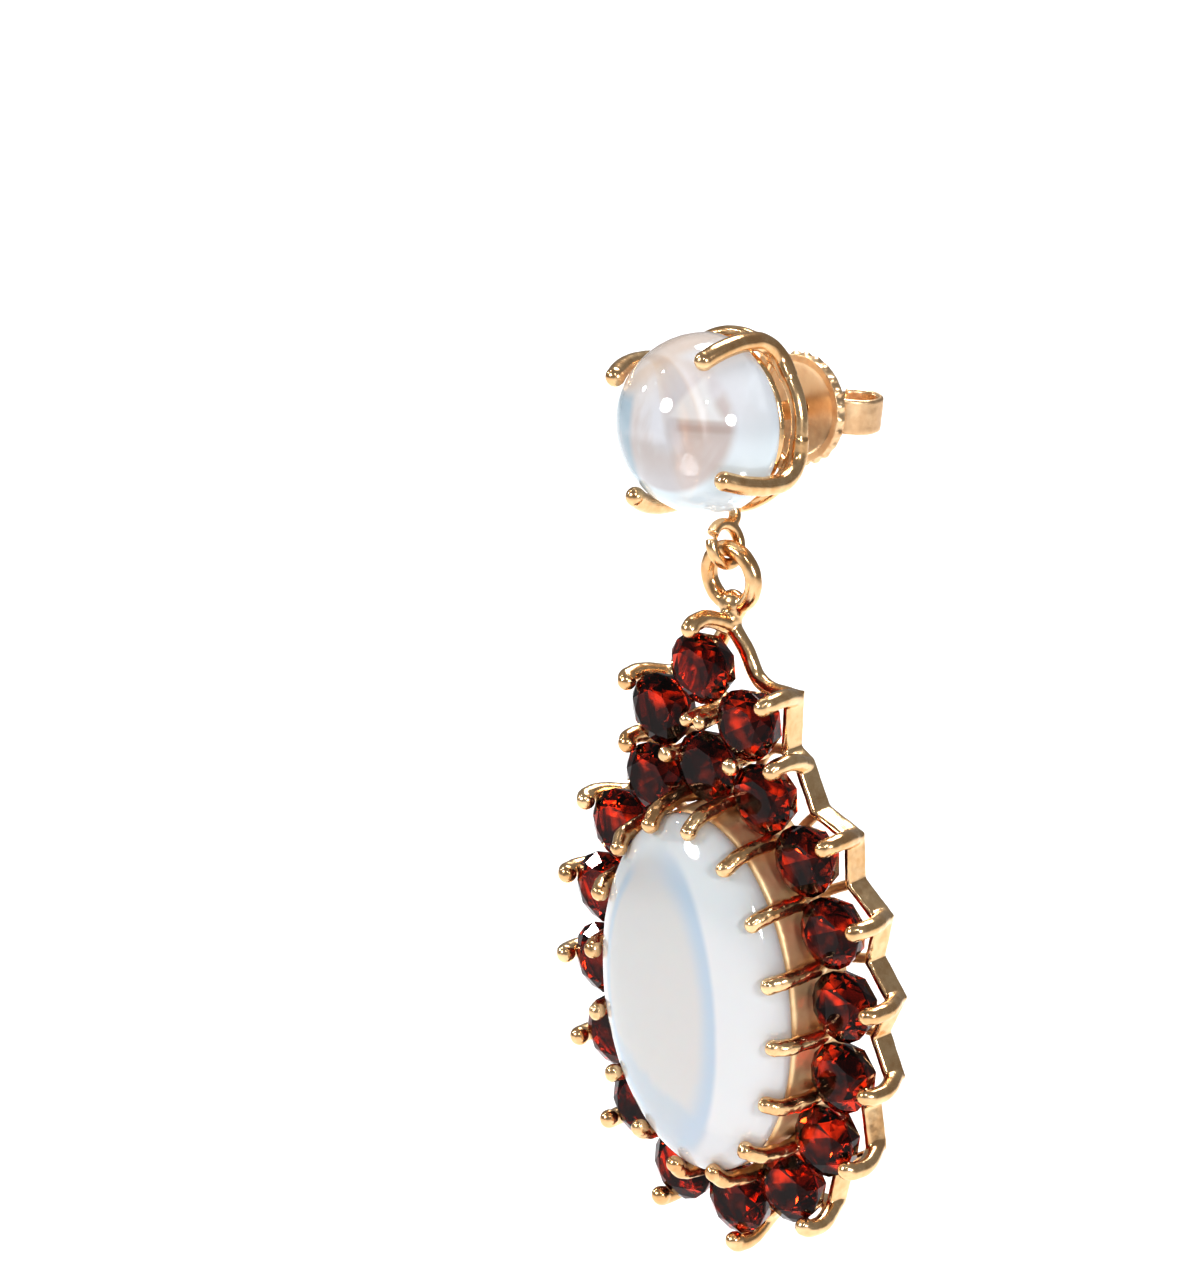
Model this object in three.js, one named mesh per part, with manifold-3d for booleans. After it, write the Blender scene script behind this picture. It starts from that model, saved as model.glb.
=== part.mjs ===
// A drop earring in millimetres, +Z up and -Y to the front: a round cabochon stud on a post with a butterfly
// clutch, and under it a drop with an oval cabochon in a ring of round garnets and three more above them.
// The origin is on the post's axis, in the middle of the ear lobe, and the earring hangs as when it is worn.

import * as THREE from 'three';
import { ConvexGeometry } from 'three/addons/geometries/ConvexGeometry.js';
import { mergeVertices } from 'three/addons/utils/BufferGeometryUtils.js';
import Module from 'manifold-3d';

const wasm = await Module();
wasm.setup();

// Clearances
const stoneGap = 0.04;
const postGap = 0.06;
const linkGap = 0.03;
const weldTolerance = 1e-5;

// Pose, in degrees: the stud is turned on its post, the clutch has spun, and the drop hangs with its foot back
const studTurn = 15.5;
const clutchTurn = 5.5;
const dropTilt = 9;

// Round cabochon of the stud
const roundRadius = 3.65;
const roundDome = 3.5;
const roundBand = 0.5;
const roundSides = 28;
const roundRings = 6;

// Edge between a cabochon's band and its flat base, as shares of the band
const baseEdgeHeight = 0.3;
const baseEdgeInset = 0.1;

// Basket of the stud, with a prong's way from the rear rail to the girdle as shares of its sweep, of its stand
// outside the rail and of the rail's depth
const studProngWire = 0.8;
const studProngCount = 4;
const studProngReach = 33;
const studProngSweep = 24;
const studProngWay = [
  { sweep: 0.4, stand: 0.3, depth: 0.94 },
  { sweep: 0.06, stand: 0.91, depth: 0.5 },
];
const studProngBend = [0.35, 0.7, 1];
const frontRailWire = 0.42;
const frontRailInset = 0.35;
const rearRailWire = 0.7;
const rearRailInset = 0.25;
const rearRailDepth = 1.35;
const rearRailDip = 0.5;
const rearRailDipPower = 6;
const strutWire = 0.6;
const strutDepth = 0.5;

// Post and the place of the lobe and the clutch on it, measured behind the stone's girdle
const postDiameter = 0.8;
const postLength = 6.8;
const postSides = 12;
const lobeDepth = 4;
const clutchDepth = 5.5;

// Butterfly clutch, with the path of its scrolls as shares of their width and depth
const padRadius = 2.2;
const padThickness = 0.5;
const padRim = 0.3;
const padDish = 0.2;
const padDishShoulder = 0.8;
const padSides = 32;
const padBeads = 24;
const padBeadHeight = 0.12;
const padBeadPoints = 3;
const boreSides = 16;
const scrollSheet = 0.25;
const scrollHeight = 1.45;
const scrollWidth = 1.75;
const scrollDepth = 2.6;
const scrollSteps = 16;
const scrollPath = [
  { out: 0.1, back: -0.06 },
  { out: 0.5, back: 0.08 },
  { out: 0.88, back: 0.32 },
  { out: 0.96, back: 0.66 },
  { out: 0.68, back: 0.93 },
  { out: 0.26, back: 0.93 },
  { out: 0, back: 0.68 },
];

// Small loop under the stud, and the ring of the drop that hangs in it
const loopRadius = 0.81;
const loopWire = 0.5;
const loopDrop = 1.24;
const loopGapStart = 144;
const loopGapEnd = 160;
const stemAngle = 60;
const ringRadius = 1.18;
const ringWire = 0.7;
const ringSetback = 1.97;
const neckWire = 0.95;
const neckHeight = 0.1;

// Oval cabochon of the drop
const ovalHalfWidth = 4.75;
const ovalHalfHeight = 7.5;
const ovalDome = 2.1;
const ovalBand = 0.3;
const ovalSetForward = 1.45;
const ovalSides = 44;
const ovalRings = 6;

// Garnets: the ring follows the oval, their size follows from the count and the gap between them, and each
// is set turned by garnetSpin, in degrees, from the one before
const garnetCount = 16;
const garnetGap = 0.06;
const garnetToOval = 0.1;
const garnetSetForward = 0.3;
const garnetSpin = 137.5;
const tableShare = 0.62;
const starShare = 0.82;
const crownHeight = 0.46;
const girdleHeight = 0.08;
const bulgeShare = 0.86;
const bulgeDepth = 0.75;
const pavilionDepth = 1.6;

// Wall and zigzag strip behind the garnets, both open at the back
const wallThickness = 0.38;
const wallProud = 0.03;
const galleryFront = 0.95;
const galleryBack = 2.05;
const stripThickness = 0.34;
const stripOuter = 1.38;
const stripInner = 0.45;
const braceWire = 0.46;
const spineWire = 0.5;
const shoulderWire = 0.56;

// Shoulders from the ring's neck, as shares of a garnet's radius out and up from the topmost garnet's centre
const shoulderBow = { out: 0.5, up: 0.2 };
const shoulderDip = { out: 0.95, up: -0.6 };

// Prongs of the drop
const innerProngWire = 0.64;
const innerProngRoot = 0.9;
const innerProngReach = 19;
const innerProngBend = [0, 0.5, 1];
const outerProngWire = 0.74;
const outerProngBite = 0.98;
const outerProngBend = 0.8;
const sidePointerAngle = 38;
const centreProngWire = 0.66;
const centreProngTip = 0.55;
const gapProngWire = 0.42;
const gapProngHead = 0.78;
const gapProngTip = 0.45;

// How finely the wires are meshed
const wireSides = 6;
const railSides = 8;
const beadSides = 6;
const beadRings = 4;
const ringSteps = 16;
const railSteps = 28;
const wallSides = 44;
const stemSteps = 6;
const studProngSteps = 10;
const dropProngSteps = 5;
const braceSteps = 4;
const shoulderSteps = 7;

// Colours
const goldColour = 0xd9a066;
const clutchColour = 0xdcae7c;
const clearMoonstoneColour = 0xdcdde4;
const milkyMoonstoneColour = 0xe4e6ea;
const garnetColour = 0x4a0a0c;

const radians = THREE.MathUtils.degToRad;
const across = new THREE.Vector3(1, 0, 0);
const along = new THREE.Vector3(0, 1, 0);

// The curve a fixed distance outside the oval cabochon's edge, clockwise from its top as seen from the front
class OffsetOval extends THREE.Curve {
  constructor(out) {
    super();
    this.out = out;
    this.arcLengthDivisions = 800;
  }

  getPoint(share, target = new THREE.Vector3()) {
    const angle = 2 * Math.PI * share;
    const edge = new THREE.Vector3(ovalHalfWidth * Math.sin(angle), 0, ovalHalfHeight * Math.cos(angle));
    return target.copy(edge).addScaledVector(ovalNormal(angle), this.out);
  }
}

function ovalNormal(angle) {
  const normal = new THREE.Vector3(ovalHalfHeight * Math.sin(angle), 0, ovalHalfWidth * Math.cos(angle));
  return normal.normalize();
}

// The garnets touch but for garnetGap: pitch * count is the oval's girth plus 2 pi times the line's offset
const ovalGirth = new OffsetOval(garnetToOval).getLength();
const garnetDiameter = (ovalGirth / garnetCount - garnetGap) / (1 - Math.PI / garnetCount);
const garnetRadius = garnetDiameter / 2;
const garnetPitch = garnetDiameter + garnetGap;
const garnetLineOut = garnetToOval + garnetRadius;
const garnetLine = new OffsetOval(garnetLineOut);

// The oval's angle at a place counted in garnets, clockwise from the top one
function ovalAngleAt(place) {
  const turns = THREE.MathUtils.euclideanModulo(place / garnetCount, 1);
  return 2 * Math.PI * garnetLine.getUtoTmapping(turns);
}

function ovalPoint(place, out, depth) {
  const angle = ovalAngleAt(place);
  const point = new OffsetOval(out).getPoint(angle / (2 * Math.PI));
  return point.setY(depth);
}

// The side garnet rests on the top two of the ring, and the topmost rests on both side garnets
const topOfRing = ovalPoint(0, garnetLineOut, -garnetSetForward);
const nextInRing = ovalPoint(1, garnetLineOut, -garnetSetForward);
const sideGarnet = apexAbove(topOfRing, nextInRing);
const crownRise = Math.sqrt(garnetPitch ** 2 - sideGarnet.x ** 2);
const crownGarnet = new THREE.Vector3(0, -garnetSetForward, sideGarnet.z + crownRise);
const gapCentre = topOfRing.clone().add(nextInRing).add(sideGarnet).divideScalar(3);
const pointerRise = radians(sidePointerAngle);
const sidePointer = new THREE.Vector3(Math.cos(pointerRise), 0, Math.sin(pointerRise));
const upward = new THREE.Vector3(0, 0, 1);

function apexAbove(left, right) {
  const half = right.clone().sub(left).divideScalar(2);
  const out = new THREE.Vector3(-half.z, 0, half.x).normalize();
  const height = Math.sqrt(garnetPitch ** 2 - half.lengthSq());
  return left.clone().add(half).addScaledVector(out, height);
}

// Heights and depths that follow from the sizes above
const outerProngStand = garnetRadius + stoneGap + outerProngWire / 2;
const ringFoot = crownGarnet.z + outerProngStand + neckHeight;
const ringCentre = new THREE.Vector3(0, ringSetback, ringFoot + ringRadius);
const ringTop = new THREE.Vector3(0, ringSetback, ringCentre.z + ringRadius);
const galleryMiddle = (galleryFront + galleryBack) / 2;
const shoulderDepth = galleryBack - shoulderWire / 2;
const frontRailRadius = roundRadius - frontRailInset;
const frontRailDepth = roundBand + stoneGap + frontRailWire / 2;
const rearRailRadius = roundRadius - rearRailInset;
const rearDepth = roundBand + rearRailDepth;
const postFoot = rearDepth + strutDepth;
const loopCentre = new THREE.Vector3(0, 0, -(roundRadius + loopDrop));

function metal(name, geometry, colour) {
  const material = new THREE.MeshStandardMaterial({ color: colour, roughness: 0.25, metalness: 1 });
  return namedMesh(name, geometry, material);
}

function stone(name, geometry, colour) {
  const material = new THREE.MeshStandardMaterial({ color: colour, roughness: 0.08, metalness: 0 });
  return namedMesh(name, geometry, material);
}

function namedMesh(name, geometry, material) {
  const mesh = new THREE.Mesh(geometry, material);
  mesh.name = name;
  return mesh;
}

function solid(geometry) {
  geometry.deleteAttribute('normal');
  geometry.deleteAttribute('uv');
  const merged = mergeVertices(geometry, weldTolerance);
  const vertProperties = Float32Array.from(merged.attributes.position.array);
  const triVerts = Uint32Array.from(merged.index.array);
  return new wasm.Manifold(new wasm.Mesh({ numProp: 3, vertProperties, triVerts }));
}

function fuse(geometries) {
  const solids = geometries.map(solid);
  return solids.reduce((whole, next) => whole.add(next));
}

function toGeometry(body) {
  const mesh = body.getMesh();
  const geometry = new THREE.BufferGeometry();
  geometry.setAttribute('position', new THREE.BufferAttribute(mesh.vertProperties, 3));
  geometry.setIndex(new THREE.BufferAttribute(mesh.triVerts, 1));
  return geometry;
}

function roundSection(diameter, sides) {
  const points = [];
  for (let i = 0; i < sides; i += 1) {
    const angle = (2 * Math.PI * i) / sides;
    points.push(new THREE.Vector2(Math.cos(angle), Math.sin(angle)).multiplyScalar(diameter / 2));
  }
  return new THREE.Shape(points);
}

function wire(points, diameter, steps, sides = wireSides) {
  const extrudePath = new THREE.CatmullRomCurve3(points);
  return new THREE.ExtrudeGeometry(roundSection(diameter, sides), { extrudePath, steps, bevelEnabled: false });
}

function bead(centre, diameter) {
  return new THREE.SphereGeometry(diameter / 2, beadSides, beadRings).translate(centre.x, centre.y, centre.z);
}

// A prong is a wire with a round end at its last point, as wide as the wire is across its flats
function prong(points, diameter, steps) {
  const flats = diameter * Math.cos(Math.PI / wireSides);
  return [wire(points, diameter, steps), bead(points.at(-1), flats)];
}

// A flat outline in X and Z, given thickness along Y from its front to its back
function plate(shape, front, back) {
  const geometry = new THREE.ExtrudeGeometry(shape, { depth: back - front, bevelEnabled: false });
  return geometry.rotateX(Math.PI / 2).translate(0, back, 0);
}

// The outline between two closed rows of points that run clockwise as seen from the front
function bandShape(outer, inner) {
  const flat = (points) => points.map((point) => new THREE.Vector2(point.x, point.z));
  const shape = new THREE.Shape(flat(outer).reverse());
  shape.holes.push(new THREE.Path(flat(inner)));
  return shape;
}

// A cabochon about the Y axis with its flat base behind: a short band, then a dome that bulges to the front
function cabochon(halfWidth, halfHeight, band, dome, girdleDepth, sides, rings) {
  const profile = [
    new THREE.Vector2(0, band),
    new THREE.Vector2(1 - band * baseEdgeInset, band),
    new THREE.Vector2(1, band * (1 - baseEdgeHeight)),
  ];
  for (let i = 0; i <= rings; i += 1) {
    const angle = (Math.PI / 2) * (i / rings);
    profile.push(new THREE.Vector2(i === rings ? 0 : Math.cos(angle), -dome * Math.sin(angle)));
  }
  const geometry = new THREE.LatheGeometry(profile.reverse(), sides);
  return geometry.scale(halfWidth, 1, halfHeight).translate(0, girdleDepth, 0);
}

// A round brilliant about the Y axis with its table to the front
function brilliant() {
  const points = [];
  const half = girdleHeight / 2;
  const tableRadius = garnetRadius * tableShare;
  const starRadius = garnetRadius * starShare;
  const bulgeRadius = garnetRadius * bulgeShare;
  const eighth = Math.PI / 8;
  const starDrop = (garnetRadius - starRadius * Math.cos(eighth)) / (garnetRadius - tableRadius);
  const corner = (radius, angle, depth) => {
    points.push(new THREE.Vector3(radius * Math.sin(angle), depth, radius * Math.cos(angle)));
  };
  for (let i = 0; i < 8; i += 1) {
    const angle = 2 * eighth * i;
    corner(tableRadius, angle, -half - crownHeight);
    corner(starRadius, angle + eighth, -half - crownHeight * starDrop);
    corner(bulgeRadius, angle + eighth, half + bulgeDepth);
    for (const turn of [0, eighth]) {
      corner(garnetRadius, angle + turn, -half);
      corner(garnetRadius, angle + turn, half);
    }
  }
  corner(0, 0, half + pavilionDepth);
  return new ConvexGeometry(points);
}

// Basket: every point is given by its angle from +X towards +Z, its distance from the post's axis and its depth
function basketPoint(angle, radius, depth) {
  return new THREE.Vector3(radius * Math.cos(angle), depth, radius * Math.sin(angle));
}

// The rear rail comes forward at the bottom, where the loop is soldered to it
function rearRailPoint(angle) {
  const low = Math.max(0, -Math.sin(angle)) ** rearRailDipPower;
  return basketPoint(angle, rearRailRadius, rearDepth - rearRailDip * low);
}

function rearRail() {
  const points = [];
  for (let i = 0; i < railSteps; i += 1) {
    points.push(rearRailPoint((2 * Math.PI * i) / railSteps));
  }
  const extrudePath = new THREE.CatmullRomCurve3(points, true);
  const section = roundSection(rearRailWire, railSides);
  return new THREE.ExtrudeGeometry(section, { extrudePath, steps: railSteps, bevelEnabled: false });
}

function frontRail() {
  const ring = new THREE.TorusGeometry(frontRailRadius, frontRailWire / 2, wireSides, railSteps);
  return ring.rotateX(Math.PI / 2).translate(0, frontRailDepth, 0);
}

// A prong leaves the rear rail on the side of the stud, turns forward and bends over the stone
function studProng(angle) {
  const side = Math.cos(angle) > 0 ? 0 : Math.PI;
  const towardsSide = Math.sign(Math.sin(side - angle));
  const sweep = radians(studProngSweep) * towardsSide;
  const stand = roundRadius + stoneGap + studProngWire / 2;
  const points = [rearRailPoint(angle + sweep)];
  for (const way of studProngWay) {
    const radius = THREE.MathUtils.lerp(rearRailRadius, stand, way.stand);
    points.push(basketPoint(angle + sweep * way.sweep, radius, rearDepth * way.depth));
  }
  points.push(basketPoint(angle, stand, 0));
  for (const share of studProngBend) {
    const lift = radians(studProngReach) * share;
    const scale = stand / roundRadius;
    points.push(basketPoint(angle, stand * Math.cos(lift), -roundDome * scale * Math.sin(lift)));
  }
  return prong(points, studProngWire, studProngSteps);
}

function loop() {
  const points = [];
  const start = radians(loopGapEnd);
  const sweep = radians(360 - (loopGapEnd - loopGapStart));
  for (let i = 0; i <= ringSteps; i += 1) {
    const angle = start + (sweep * i) / ringSteps;
    const offset = new THREE.Vector3(0, Math.cos(angle), Math.sin(angle)).multiplyScalar(loopRadius);
    points.push(loopCentre.clone().add(offset));
  }
  return wire(points, loopWire, ringSteps, railSides);
}

function loopStem() {
  const shoulder = radians(stemAngle);
  const top = new THREE.Vector3(0, Math.cos(shoulder), Math.sin(shoulder)).multiplyScalar(loopRadius);
  const bottomRail = rearRailPoint(-Math.PI / 2);
  const clearOfStone = -(roundRadius + stoneGap + loopWire / 2);
  return wire([
    loopCentre.clone().add(top),
    new THREE.Vector3(0, roundBand + loopWire / 2 + stoneGap, clearOfStone),
    new THREE.Vector3(0, frontRailDepth + frontRailWire / 2, -frontRailRadius - frontRailWire / 4),
    bottomRail,
  ], loopWire, stemSteps);
}

function post() {
  const radius = postDiameter / 2;
  const profile = [
    new THREE.Vector2(0, 0),
    new THREE.Vector2(radius, 0),
    new THREE.Vector2(radius, postLength - radius / 2),
    new THREE.Vector2(radius / 2, postLength),
    new THREE.Vector2(0, postLength),
  ];
  return new THREE.LatheGeometry(profile, postSides).translate(0, postFoot - strutWire / 2, 0);
}

function studSetting() {
  const parts = [rearRail(), frontRail(), loop(), loopStem(), post()];
  for (let i = 0; i < studProngCount; i += 1) {
    const angle = (2 * Math.PI * (i + 0.5)) / studProngCount;
    parts.push(...studProng(angle));
    parts.push(wire([rearRailPoint(angle), new THREE.Vector3(0, postFoot, 0)], strutWire, 1));
  }
  return toGeometry(fuse(parts));
}

// Clutch, with the pad's front face at depth 0 in its own frame
function beadedPad() {
  const outline = [];
  const steps = padBeads * padBeadPoints;
  for (let i = 0; i < steps; i += 1) {
    const angle = (2 * Math.PI * i) / steps;
    const radius = padRadius + (i % padBeadPoints === 0 ? 0 : padBeadHeight);
    outline.push(new THREE.Vector2(radius * Math.cos(angle), radius * Math.sin(angle)));
  }
  return plate(new THREE.Shape(outline), 0, padThickness);
}

function padHollow() {
  const rim = padRadius - padRim;
  const past = padThickness;
  const profile = [
    new THREE.Vector2(0, -past),
    new THREE.Vector2(rim, -past),
    new THREE.Vector2(rim, 0),
    new THREE.Vector2(rim / 2, padDish * padDishShoulder),
    new THREE.Vector2(0, padDish),
  ];
  return new THREE.LatheGeometry(profile, padSides);
}

function postBore() {
  const past = padThickness;
  const length = padThickness + scrollDepth + 2 * past;
  const radius = postDiameter / 2 + postGap;
  const bore = new THREE.CylinderGeometry(radius, radius, length, boreSides);
  return bore.translate(0, length / 2 - past, 0);
}

// A scroll leaves the pad beside the post, curls outwards and comes back until it grips the post
function scroll(side) {
  const inside = postDiameter / 2 + postGap + scrollSheet / 2;
  const path = new THREE.CatmullRomCurve3(scrollPath.map(({ out, back }) => (
    new THREE.Vector3(inside + out * scrollWidth, padThickness + back * scrollDepth, 0)
  )));
  const left = [];
  const right = [];
  for (let i = 0; i <= scrollSteps; i += 1) {
    const point = path.getPointAt(i / scrollSteps);
    const tangent = path.getTangentAt(i / scrollSteps);
    const half = scrollSheet / 2;
    left.push(new THREE.Vector2(point.x - tangent.y * half, point.y + tangent.x * half));
    right.push(new THREE.Vector2(point.x + tangent.y * half, point.y - tangent.x * half));
  }
  const outline = new THREE.Shape([...left, ...right.reverse()]);
  const strip = new THREE.ExtrudeGeometry(outline, { depth: scrollHeight, bevelEnabled: false });
  return strip.translate(0, 0, -scrollHeight / 2).rotateY(side > 0 ? 0 : Math.PI);
}

function clutch() {
  const pad = solid(beadedPad()).subtract(solid(padHollow()));
  const whole = pad.add(solid(scroll(1))).add(solid(scroll(-1)));
  return toGeometry(whole.subtract(solid(postBore())));
}

// Drop: the wall that carries the oval stone
function ovalWall() {
  const outline = new OffsetOval(wallProud).getPoints(wallSides).slice(0, -1);
  const hollow = new OffsetOval(wallProud - wallThickness).getPoints(wallSides).slice(0, -1);
  return plate(bandShape(outline, hollow), stoneGap - ovalSetForward, galleryBack);
}

// Centres and outward directions of all the garnets, ring first
function garnetPlaces() {
  const places = [];
  for (let i = 0; i < garnetCount; i += 1) {
    const centre = ovalPoint(i, garnetLineOut, -garnetSetForward);
    places.push({ centre, outward: ovalNormal(ovalAngleAt(i)) });
  }
  places.push({ centre: mirrored(sideGarnet), outward: mirrored(sidePointer) });
  places.push({ centre: sideGarnet, outward: sidePointer });
  places.push({ centre: crownGarnet, outward: upward });
  return places;
}

function mirrored(point) {
  return new THREE.Vector3(-point.x, point.y, point.z);
}

// Right half of the zigzag strip from its top to its bottom: a point out at each prong, one in between garnets
function stripHalf() {
  const sideCorner = sideGarnet.clone().addScaledVector(sidePointer, stripOuter);
  const between = sideGarnet.clone().add(nextInRing).divideScalar(2);
  const towards = sideGarnet.clone().sub(nextInRing).normalize();
  const notch = between.addScaledVector(new THREE.Vector3(towards.z, 0, -towards.x), stripInner);
  const top = new THREE.Vector3(0, 0, sideGarnet.z);
  const points = [top, sideCorner, notch];
  for (let i = 1; i < garnetCount / 2; i += 1) {
    points.push(ovalPoint(i, garnetLineOut + stripOuter, 0));
    points.push(ovalPoint(i + 0.5, garnetLineOut + stripInner, 0));
  }
  points.push(ovalPoint(garnetCount / 2, garnetLineOut + stripOuter, 0));
  return points;
}

// Moves each corner of a closed clockwise outline outwards so that its edges lie a fixed distance away
function offsetLoop(points, distance) {
  return points.map((point, i) => {
    const before = point.clone().sub(points.at(i - 1)).normalize();
    const after = points[(i + 1) % points.length].clone().sub(point).normalize();
    const normal = new THREE.Vector3(-before.z - after.z, 0, before.x + after.x).normalize();
    const spread = normal.dot(new THREE.Vector3(-before.z, 0, before.x));
    return point.clone().addScaledVector(normal, distance / spread);
  });
}

function zigzagStrip() {
  const half = stripHalf();
  const otherHalf = half.slice(1, -1).map(mirrored).reverse();
  const centreLine = [...half, ...otherHalf];
  const outer = offsetLoop(centreLine, stripThickness / 2);
  const inner = offsetLoop(centreLine, -stripThickness / 2);
  return plate(bandShape(outer, inner), galleryFront, galleryBack);
}

// Braces join the wall to the strip between the garnets, a spine carries the prongs between the upper garnets,
// and two curved shoulders run from the neck of the ring to the strip's upper corners
function braces() {
  const parts = [];
  for (let i = 1; i < garnetCount - 1; i += 1) {
    const inside = ovalPoint(i + 0.5, -wallThickness / 2, galleryMiddle);
    const outside = ovalPoint(i + 0.5, garnetLineOut + stripInner, galleryMiddle);
    parts.push(wire([inside, outside], braceWire, 1));
  }
  const [stripTop, stripCorner, notch] = stripHalf().map((point) => point.setY(galleryMiddle));
  const inWall = ovalPoint(0.5, -wallThickness / 2, galleryMiddle);
  const gap = gapCentre.clone().setY(galleryMiddle);
  const wallTop = new THREE.Vector3(0, galleryMiddle, ovalHalfHeight - wallThickness / 2);
  const ringBottom = new THREE.Vector3(0, ringSetback, ringFoot);
  const neckBottom = new THREE.Vector3(0, shoulderDepth, crownGarnet.z + stripOuter);
  const [bow, dip] = [shoulderBow, shoulderDip].map(({ out, up }) => (
    new THREE.Vector3(garnetRadius * out, shoulderDepth, crownGarnet.z + garnetRadius * up)
  ));
  for (const side of [(point) => point, mirrored]) {
    parts.push(wire([inWall, gap, notch].map(side), braceWire, braceSteps));
    parts.push(wire([neckBottom, bow, dip, stripCorner].map(side), shoulderWire, shoulderSteps));
  }
  parts.push(wire([wallTop, stripTop], spineWire, 1));
  parts.push(wire([neckBottom, ringBottom], neckWire, 1, railSides));
  return parts;
}

function hangingRing() {
  const ring = new THREE.TorusGeometry(ringRadius, ringWire / 2, railSides, ringSteps);
  return ring.rotateX(Math.PI / 2).translate(ringCentre.x, ringCentre.y, ringCentre.z);
}

// Claw centre over the oval stone, lift degrees up its dome from the girdle
function ovalClaw(place, lift, clear) {
  const angle = ovalAngleAt(place);
  const girdle = -ovalSetForward - ovalBand;
  const rise = radians(lift);
  const x = ovalHalfWidth * Math.sin(angle) * Math.cos(rise);
  const z = ovalHalfHeight * Math.cos(angle) * Math.cos(rise);
  const y = -ovalDome * Math.sin(rise);
  const normal = new THREE.Vector3(x / ovalHalfWidth ** 2, y / ovalDome ** 2, z / ovalHalfHeight ** 2);
  return new THREE.Vector3(x, girdle + y, z).addScaledVector(normal.normalize(), clear);
}

function innerProngs() {
  const parts = [];
  const clear = stoneGap + innerProngWire / 2;
  const hug = wallProud + stoneGap + innerProngWire / 2;
  for (let i = 0; i < garnetCount; i += 1) {
    const place = i + 0.5;
    parts.push(...prong([
      ovalPoint(place, wallProud - wallThickness / 2, innerProngRoot),
      ovalPoint(place, hug, 0),
      ...innerProngBend.map((share) => ovalClaw(place, innerProngReach * share, clear)),
    ], innerProngWire, dropProngSteps));
  }
  return parts;
}

// Where a claw of this wire rests on a garnet's crown, as distance from its axis and depth
function crownClaw(bite, diameter) {
  const tableRadius = garnetRadius * tableShare;
  const slope = new THREE.Vector2(garnetRadius - tableRadius, crownHeight).normalize();
  const radius = garnetRadius * bite;
  const height = (crownHeight * (garnetRadius - radius)) / (garnetRadius - tableRadius) + girdleHeight / 2;
  const clear = stoneGap + diameter / 2;
  return { radius: radius + clear * slope.y, depth: -garnetSetForward - height - clear * slope.x };
}

function outerProng(centre, outward) {
  const at = (radius, depth) => centre.clone().addScaledVector(outward, radius).setY(depth);
  const claw = crownClaw(outerProngBite, outerProngWire);
  return prong([
    at(stripOuter - stripThickness / 2, galleryBack - stripThickness / 2),
    at(outerProngStand, galleryFront - outerProngWire),
    at(outerProngStand, -garnetSetForward),
    at(THREE.MathUtils.lerp(claw.radius, outerProngStand, outerProngBend), claw.depth * outerProngBend),
    at(claw.radius, claw.depth),
  ], outerProngWire, dropProngSteps);
}

function centreProngs() {
  const middle = (topOfRing.z + crownGarnet.z) / 2;
  const stand = centreProngWire / 2 + stoneGap / 2;
  return [-stand, stand].flatMap((x) => prong([
    new THREE.Vector3(x, galleryMiddle, middle),
    new THREE.Vector3(x, -garnetSetForward - centreProngTip, middle),
  ], centreProngWire, 1));
}

function gapProngs() {
  return [gapCentre, mirrored(gapCentre)].flatMap((centre) => {
    const tip = centre.clone().setY(-garnetSetForward - gapProngTip);
    return [wire([centre.clone().setY(galleryMiddle), tip], gapProngWire, 1), bead(tip, gapProngHead)];
  });
}

function dropSetting() {
  const clawed = garnetPlaces().slice(1);
  const outerProngs = clawed.flatMap(({ centre, outward }) => outerProng(centre, outward));
  const parts = [ovalWall(), zigzagStrip(), hangingRing(), ...braces()];
  parts.push(...innerProngs(), ...outerProngs, ...centreProngs(), ...gapProngs());
  return toGeometry(fuse(parts));
}

function studGroup() {
  const roundStone = cabochon(roundRadius, roundRadius, roundBand, roundDome, 0, roundSides, roundRings);
  const group = new THREE.Group();
  group.add(metal('stud_setting', studSetting(), goldColour));
  group.add(stone('stud_moonstone', roundStone, clearMoonstoneColour));
  group.position.y = -lobeDepth;
  group.rotation.y = -radians(studTurn);
  return group;
}

function clutchGroup() {
  const group = new THREE.Group();
  group.add(metal('clutch', clutch(), clutchColour));
  group.position.y = clutchDepth - lobeDepth;
  group.rotation.y = radians(clutchTurn);
  return group;
}

function dropPieces() {
  const group = new THREE.Group();
  const girdle = -ovalSetForward - ovalBand;
  const ovalStone = cabochon(ovalHalfWidth, ovalHalfHeight, ovalBand, ovalDome, girdle, ovalSides, ovalRings);
  group.add(metal('drop_setting', dropSetting(), goldColour));
  group.add(stone('drop_moonstone', ovalStone, milkyMoonstoneColour));
  garnetPlaces().forEach(({ centre }, i) => {
    const name = `garnet_${String(i + 1).padStart(2, '0')}`;
    const garnet = stone(name, brilliant(), garnetColour);
    garnet.position.copy(centre);
    garnet.rotation.y = radians(garnetSpin * i);
    group.add(garnet);
  });
  group.position.copy(ringTop).negate();
  return group;
}

// The drop hangs by the top of its ring, which lies on the lowest stretch of the stud's loop
function dropGroup() {
  const group = new THREE.Group();
  const lowest = loopCentre.clone().sub(new THREE.Vector3(0, 0, loopRadius));
  lowest.applyAxisAngle(along, -radians(studTurn));
  group.position.copy(lowest);
  group.position.y -= lobeDepth;
  group.position.z += loopWire / 2 + linkGap + ringWire / 2;
  group.setRotationFromAxisAngle(across, radians(dropTilt));
  group.add(dropPieces());
  return group;
}

const earring = new THREE.Group();
earring.add(studGroup());
earring.add(clutchGroup());
earring.add(dropGroup());

export default earring;
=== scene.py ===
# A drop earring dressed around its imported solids: gold settings, a clear round and a milky oval moonstone,
# and nineteen garnets. Lengths are in millimetres until a finished piece is placed, then in metres.

import math

import bpy
from mathutils import Matrix, Vector


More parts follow.
